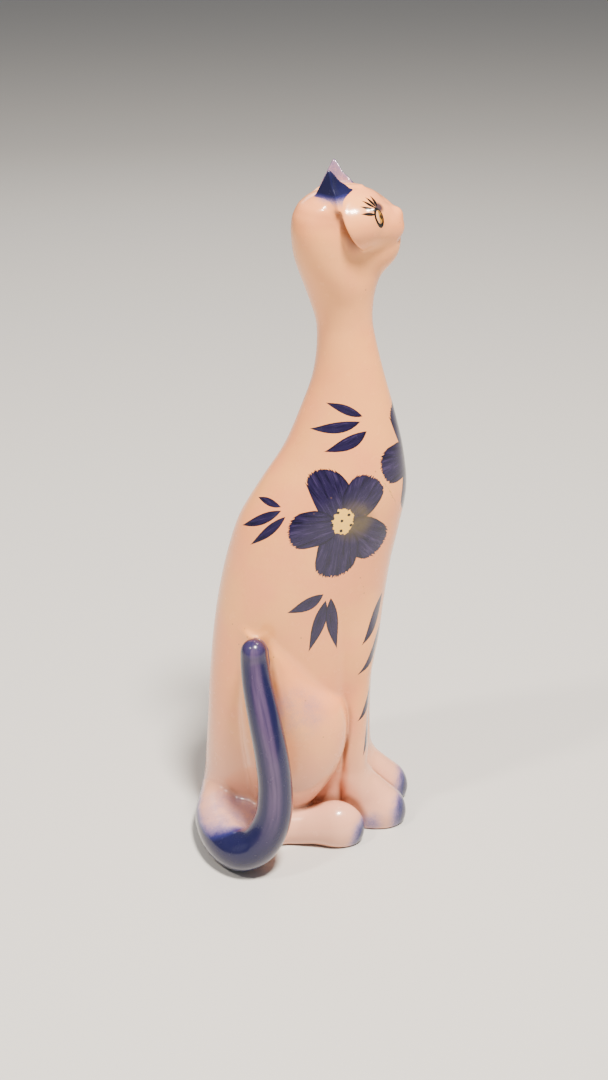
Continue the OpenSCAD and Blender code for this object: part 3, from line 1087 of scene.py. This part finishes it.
def paint_motifs(n, place, edge, leaf, petal, colour):
    """The leaves and flowers in dark violet-blue brush strokes over the glaze."""
    mask, inside = 0.0, 0.0
    across_streak, along_streak = 0.0, 0.0
    for name in LEAF_LAYERS:
        along, across, seed = n.split(n.attribute(name, "Vector"))
        stroke = n.group(leaf, Along=along, Across=across, Half=3.6, Bend=0.0, Edge=edge)
        cover = n.times(stroke["Mask"], n.step(seed, -0.5, -0.1))
        inside = n.blend(cover, inside, stroke["Inside"])
        across_streak = n.blend(cover, across_streak, n.math("MULTIPLY_ADD", across, 3.6, seed))
        along_streak = n.blend(cover, along_streak, n.times(along, 30.0))
        mask = n.math("MAXIMUM", mask, cover)
    flower = n.attribute("flower", "Vector")
    near_flower = n.step(n.split(flower)[2], -0.5, -0.1)
    for k, (angle, length, width) in enumerate(PETALS):
        tip = (length * math.cos(math.radians(angle)), length * math.sin(math.radians(angle)))
        along, across = along_and_across(n, flower, (0, 0), tip, width)
        stroke = n.group(petal, Along=along, Across=across, Bend=0.1 * (-1) ** k, Seed=11.3 * k)
        cover = n.times(stroke["Mask"], near_flower)
        inside = n.blend(cover, inside, stroke["Inside"])
        fanned = n.times(across, n.step(along, 0.0, 1.0, width, 0.5 * width))
        across_streak = n.blend(cover, across_streak, n.plus(fanned, 17.0 * k))
        along_streak = n.blend(cover, along_streak, n.times(along, length))
        mask = n.math("MAXIMUM", mask, cover)
    fine_place = n.combine(n.times(across_streak, 2.4), n.times(along_streak, 0.12))
    broad_place = n.combine(n.times(across_streak, 0.35), n.times(along_streak, 0.05))
    tone = n.plus(
        n.times(n.noise(fine_place, 1.0, 3.0), 0.75), n.times(n.noise(broad_place, 1.0, 2.0), 0.75)
    )
    tone = n.times(n.step(tone, 0.45, 1.1), n.blend(inside, 0.1, 1.0))
    paint = n.mix(n.step(tone, 0.0, 0.45), PAINT_DARK, PAINT_MID)
    paint = n.mix(n.step(tone, 0.5, 1.05), paint, PAINT_LIGHT)
    colour = n.mix(mask, colour, paint)
    return flower_middle(n, flower, edge, colour)


def flower_middle(n, away, edge, colour):
    """Olive smudges round the middle, a cream-yellow centre and its black dots."""
    x, y, _ = n.split(away)
    flat = n.combine(x, y)
    smudge = n.vector("DISTANCE", flat, (8.0, 0.0, 0.0))
    cloud = n.noise(away, 0.09, 2.0)
    smudge = n.times(n.step(smudge, 3.0, 17.0, 1.0, 0.0), n.step(cloud, 0.3, 0.62, 0.35, 1.0))
    colour = n.mix(n.times(smudge, 0.75), colour, OLIVE)
    radius = n.vector("LENGTH", n.combine(x, n.times(y, 0.74)))
    lobes = n.noise(n.vector("NORMALIZE", flat), 2.6, 2.0)
    rim = n.plus(radius, n.times(n.minus(lobes, 0.5), -4.5))
    rim = n.plus(rim, n.times(edge, 1.5))
    colour = n.mix(n.step(rim, 6.3, 6.6, 1.0, 0.0), colour, POLLEN)
    for dot in POLLEN_DOTS:
        gap = n.vector("DISTANCE", flat, (*dot, 0))
        gap = n.plus(gap, n.times(edge, 0.8))
        colour = n.mix(n.step(gap, 0.85, 1.15, 1.0, 0.0), colour, BLACK)
    return colour


# The eye's middle on the right side, and the forward and upward axes of its plane
EYE_PLACE = (45.3, -18.6, 424.5)
EYE_FORWARD = (0.864, 0.504, 0.0)
EYE_UP = (-0.2596, 0.445, 0.8587)
# Lash strokes on the eye's plane: root, tip, width and bend
LASHES = [
    ((0.2, 6.6), (-0.8, 15.8), 2.3, -0.5),
    ((-0.8, 6.2), (-4.8, 14.6), 2.3, -0.5),
    ((-1.6, 5), (-8.4, 12.2), 2.3, -0.5),
    ((-2.2, 3.4), (-11, 8.2), 2.3, -0.45),
    ((-2.6, 1.6), (-11.8, 3.2), 2.2, -0.3),
]


def paint_eye(n, side_place, leaf, colour):
    """A painted almond eye with a black lid line, gold iris, fanned lashes and a painted shadow of the
    lid.
    """
    away = n.vector("SUBTRACT", side_place, EYE_PLACE)
    x = n.vector("DOT_PRODUCT", away, EYE_FORWARD)
    y = n.vector("DOT_PRODUCT", away, EYE_UP)
    plane = n.combine(x, y)
    lashes = 0.0
    for root, tip, width, bend in LASHES:
        along, across = along_and_across(n, plane, root, tip, width)
        stroke = n.group(leaf, Along=along, Across=across, Half=width / 2, Bend=bend, Edge=0.0)
        lashes = n.math("MAXIMUM", lashes, stroke["Mask"])
    # The almond's own axes: long axis leaning back at the top
    lean = math.radians(14)
    u = n.plus(n.times(x, math.cos(lean)), n.times(y, math.sin(lean)))
    w = n.minus(n.times(y, math.cos(lean)), n.times(x, math.sin(lean)))
    almond = n.plus(
        n.math("POWER", n.math("ABSOLUTE", n.math("DIVIDE", n.minus(w, 0.7), 5.9)), 1.8),
        n.math("POWER", n.math("ABSOLUTE", n.math("DIVIDE", u, 3.3)), 2.0),
    )
    # Painted shadow of the upper lid: a dark blue-grey patch above the eye
    lid_shade = n.vector("DISTANCE", plane, (1.6, 6.8, 0))
    colour = n.mix(n.step(lid_shade, 1.6, 4.6, 0.95, 0.0), colour, LID_SHADOW_BLUE)
    colour = n.mix(n.step(almond, 0.97, 1.03, 1.0, 0.0), colour, BLACK)
    colour = n.mix(n.step(almond, 0.38, 0.46, 1.0, 0.0), colour, EYE_CREAM)
    iris = n.step(u, -0.6, 0.0)
    fleck = n.noise(n.combine(n.times(u, 1.4), n.times(w, 0.5)), 1.0, 2.0)
    gold = n.mix(n.step(fleck, 0.35, 0.62), IRIS_BROWN, IRIS_GOLD)
    iris = n.times(iris, n.step(almond, 0.38, 0.46, 1.0, 0.0))
    colour = n.mix(iris, colour, gold)
    pupil = n.vector("DISTANCE", n.combine(u, n.times(w, 0.5)), (1.3, 0.2, 0))
    colour = n.mix(n.step(pupil, 0.6, 0.85, 1.0, 0.0), colour, BLACK)
    return n.mix(lashes, colour, BLACK)


# ---------------------------------------------------------------- glaze

def glaze(name, leaf, petal, motifs=False, eye=False):
    """Glossy cream glaze over clay, with airbrushed blue and hand-painted motifs."""
    material = bpy.data.materials.new(name)
    material.use_nodes = True
    tree = material.node_tree
    tree.nodes.clear()
    n = Nodes(tree)
    place = n.vector("SCALE", n.new("ShaderNodeTexCoord").outputs["Object"], None, 1 / MM)
    x, y, z = n.split(place)
    speckle = n.noise(place, 1.7, 2.0)
    cloud = n.noise(place, 0.028, 3.0)

    # The glaze: clouded cream, paler to the feet, and brown in sheltered creases, partly pooled glaze
    # and partly painted shade
    colour = n.mix(n.step(cloud, 0.35, 0.65), CREAM, CREAM_PINK)
    colour = n.mix(n.step(z, 10.0, 120.0, 0.85, 0.0), colour, PALE)
    crease_pool_and_shade = n.attribute("crease_pool_and_shade")
    colour = n.mix(n.times(n.step(crease_pool_and_shade, 0.2, 0.95), 0.75), colour, GLAZE_POOL_AND_SHADE)

    # The airbrush: lavender at its fringe, then blue, then navy, grainy where it fades
    blue = n.attribute("blue")
    grain = n.times(n.minus(speckle, 0.5), 0.5)
    fade = n.times(n.times(blue, n.minus(1.0, blue)), 4.0)
    spray = n.plus(blue, n.times(grain, fade))
    wisp = n.times(n.minus(n.noise(place, 0.11, 3.0), 0.5), 0.5)
    spray = n.plus(spray, n.times(wisp, fade), clamp=True)
    colour = n.mix(n.step(spray, 0.0, 0.55), colour, LAVENDER)
    colour = n.mix(n.step(spray, 0.3, 0.85), colour, AIRBRUSH_BLUE)
    colour = n.mix(n.step(spray, 0.75, 1.1), colour, NAVY)
    # Pale violet streaks: the ears' own colour, and on the tail painted light, a lit stripe and a lit
    # tip
    streak_place = n.attribute("brushed", "Vector")
    streak = n.noise(n.vector("MULTIPLY", streak_place, (0.3, 0.02, 1.0)), 1.0, 3.0)
    lilac_and_painted_light = n.times(n.attribute("lilac_and_painted_light"), n.step(streak, 0.3, 0.6, 0.45, 1.0))
    colour = n.mix(lilac_and_painted_light, colour, LILAC)

    if motifs:
        edge = n.minus(n.noise(place, 0.9, 2.0), 0.5)
        colour = paint_motifs(n, place, edge, leaf, petal, colour)
    if eye:
        side_y = n.times(n.math("ABSOLUTE", y), -1.0)
        colour = paint_eye(n, n.combine(x, side_y, z), leaf, colour)

    # Pinholes in the glaze, and the bare brown line of the foot
    pits = n.new("ShaderNodeTexVoronoi", feature="F1")
    n.feed(pits.inputs["Vector"], place)
    n.feed(pits.inputs["Scale"], 0.075)
    pit = n.step(pits.outputs["Distance"], 0.03, 0.05, 1.0, 0.0)
    colour = n.mix(n.times(pit, 0.5), colour, FOOT_BROWN)
    foot = n.plus(z, n.times(n.noise(place, 0.2, 2.0), -1.6))
    colour = n.mix(n.step(foot, -0.2, 0.8, 0.8, 0.0), colour, FOOT_BROWN)

    shader = n.new("ShaderNodeBsdfPrincipled")
    n.feed(shader.inputs["Base Color"], colour)
    rough = n.noise(place, 0.16, 3.0)
    n.feed(shader.inputs["Roughness"], n.step(rough, 0.3, 0.7, 0.18, 0.28))
    shader.inputs["IOR"].default_value = 1.4
    shader.inputs["Coat Weight"].default_value = 0.5
    shader.inputs["Coat Roughness"].default_value = 0.04
    shader.inputs["Coat IOR"].default_value = 1.42
    # The slow waves and fine skin of the glaze
    waves = n.noise(place, 0.035, 2.0)
    skin = n.noise(place, 0.45, 2.0)
    height = n.plus(n.times(waves, 1.0), n.times(skin, 0.03))
    height = n.minus(height, n.times(pit, 0.08))
    bump = n.new("ShaderNodeBump")
    n.feed(bump.inputs["Height"], height)
    bump.inputs["Strength"].default_value = 0.25
    bump.inputs["Distance"].default_value = MM
    tree.links.new(bump.outputs[0], shader.inputs["Normal"])
    out = n.new("ShaderNodeOutputMaterial")
    tree.links.new(shader.outputs[0], out.inputs["Surface"])
    return material


def bare_clay():
    """Unglazed white earthenware of the underside: matt, grainy, a little stained."""
    material = bpy.data.materials.new("bare_clay")
    material.use_nodes = True
    n = Nodes(material.node_tree)
    shader = material.node_tree.nodes["Principled BSDF"]
    place = n.vector("SCALE", n.new("ShaderNodeTexCoord").outputs["Object"], None, 1 / MM)
    stain = n.noise(place, 0.05, 4.0)
    grain = n.noise(place, 2.2, 3.0)
    colour = n.mix(n.step(stain, 0.35, 0.7), CLAY, CLAY_STAIN)
    colour = n.mix(n.step(grain, 0.62, 0.75, 0.0, 0.35), colour, CLAY_GRAIN)
    n.feed(shader.inputs["Base Color"], colour)
    n.feed(shader.inputs["Roughness"], n.step(grain, 0.3, 0.7, 0.75, 0.95))
    bump = n.new("ShaderNodeBump")
    n.feed(bump.inputs["Height"], grain)
    bump.inputs["Strength"].default_value = 0.4
    bump.inputs["Distance"].default_value = 0.4 * MM
    material.node_tree.links.new(bump.outputs[0], shader.inputs["Normal"])
    return material


# ---------------------------------------------------------------- build

def add_attribute(mesh, name, kind, values):
    """Stores one value or vector for each vertex, for the materials to read."""
    layer = mesh.attributes.new(name, kind, "POINT")
    key = "value" if kind == "FLOAT" else "vector"
    layer.data.foreach_set(key, np.ascontiguousarray(values, np.float32).ravel())


def make_piece(name, casting, material):
    """One casting that stands for its CAD node, with its painting as attributes."""
    points, faces = casting["points"], casting["faces"]
    mesh = bpy.data.meshes.new(name)
    mesh.from_pydata((points * MM).tolist(), [], faces)
    mesh.polygons.foreach_set("use_smooth", np.ones(len(mesh.polygons), bool))
    mesh.materials.append(material)
    blue, lilac_and_painted_light, shelf = airbrush(points, casting["normals"], name)
    round_and_up = wrap(points)
    add_attribute(mesh, "blue", "FLOAT", blue)
    add_attribute(mesh, "lilac_and_painted_light", "FLOAT", lilac_and_painted_light)
    # Crease darkness, partly pooled glaze and partly painted shade, kept off the clean shelf
    add_attribute(mesh, "crease_pool_and_shade", "FLOAT", casting["crease_pool_and_shade"] * (1 - shelf))
    flat = np.zeros((len(points), 3))
    flat[:, :2] = round_and_up
    strokes = LEAVES + left_leaves()
    for k, layer in enumerate(LEAF_LAYERS):
        in_layer = strokes[k::len(LEAF_LAYERS)]
        add_attribute(mesh, layer, "FLOAT_VECTOR", leaf_places(round_and_up, in_layer))
    add_attribute(mesh, "flower", "FLOAT_VECTOR", flower_places(round_and_up))
    brushed = flat.copy()
    if name == "tail":
        brushed[:, 0] = 12 * np.arctan2(casting["normals"][:, 0], -casting["normals"][:, 1])
        brushed[:, 1] = tail_coordinates(points)[0]
    add_attribute(mesh, "brushed", "FLOAT_VECTOR", brushed)
    mesh.normals_split_custom_set_from_vertices(casting["normals"].tolist())
    piece = bpy.data.objects.new(name + "_glazed", mesh)
    bpy.context.scene.collection.objects.link(piece)
    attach(piece, "root")
    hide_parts(name)


def build_cat():
    """All the castings, with their glazes, and bare clay on the CAD floor."""
    body_grid, head_grid = make_grids()
    body = castings(body_grid, True)
    head = castings(head_grid, False)
    body["body_shell"] = body.pop("shell")
    head["head_shell"] = head.pop("shell")
    made = {**body, **head}
    leaf, petal = leaf_group(), petal_group()
    cream = glaze("painted_cream_glaze", leaf, petal, motifs=True)
    face = glaze("painted_face_glaze", leaf, petal, eye=True)
    plain = glaze("airbrushed_cream_glaze", leaf, petal)
    ear = glaze("airbrushed_ear_glaze", leaf, petal)
    tail = glaze("airbrushed_tail_glaze", leaf, petal)
    finish = {
        "body_shell": (cream, "glazed_cream"),
        "head_shell": (face, "glazed_cream"),
        "tail": (tail, "glazed_tail_blue"),
    }
    for side_name in ("right", "left"):
        finish[side_name + "_haunch"] = (plain, "glazed_cream")
        finish[side_name + "_foreleg"] = (cream, "glazed_pale")
        finish[side_name + "_hind_paw"] = (plain, "glazed_pale")
        finish[side_name + "_ear"] = (ear, "glazed_ear_blue")
    for name, (material, slot_name) in finish.items():
        make_piece(name, made[name], material)
    floor_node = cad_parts["base_floor"]
    floor_node.data.materials.clear()
    floor_node.data.materials.append(bare_clay())


def make_floor():
    """A wide pale studio floor on the table plane."""
    material = bpy.data.materials.new("studio_floor")
    material.use_nodes = True
    shader = material.node_tree.nodes["Principled BSDF"]
    shader.inputs["Base Color"].default_value = (0.6, 0.59, 0.575, 1)
    shader.inputs["Roughness"].default_value = 0.55
    mesh = bpy.data.meshes.new("studio_floor")
    reach = 60
    mesh.from_pydata([(-reach, -reach, 0), (reach, -reach, 0), (reach, reach, 0), (-reach, reach, 0)],
                     [], [(0, 1, 2, 3)])
    mesh.materials.append(material)
    floor = bpy.data.objects.new("studio_floor", mesh)
    bpy.context.scene.collection.objects.link(floor)


# Place, size, watts and colour of the studio lights, which all aim at the cat's middle
LIGHTS = {
    "key": ((0.6, -0.75, 2.7), 0.5, 235, (1, 0.91, 0.8)),
    "lamp": ((-1.05, -0.85, 2.0), 0.2, 30, (1, 0.91, 0.8)),
    "fill": ((-1.6, -1.2, 1.0), 1.4, 2, (0.93, 0.96, 1)),
    "back": ((-0.6, 1.8, 1.3), 1.2, 6, (1, 0.97, 0.94)),
}
LIT_PLACE = (0, 0, 0.24)


def area_light(name, place, size, watts, colour):
    """A round soft light."""
    data = bpy.data.lights.new(name, "AREA")
    data.shape = "DISK"
    data.size = size
    data.energy = watts
    data.color = colour
    light = bpy.data.objects.new(name, data)
    light.location = place
    aim = Vector(LIT_PLACE) - Vector(place)
    light.rotation_euler = aim.to_track_quat("-Z", "Y").to_euler()
    bpy.context.scene.collection.objects.link(light)


def make_lights():
    """The studio lights and a weak even sky."""
    for name, settings in LIGHTS.items():
        area_light(name, *settings)
    world = bpy.data.worlds.new("studio")
    world.use_nodes = True
    background = world.node_tree.nodes["Background"]
    background.inputs["Color"].default_value = (0.93, 0.94, 0.96, 1)
    background.inputs["Strength"].default_value = 0.24
    bpy.context.scene.world = world


build_cat()
make_floor()
make_lights()
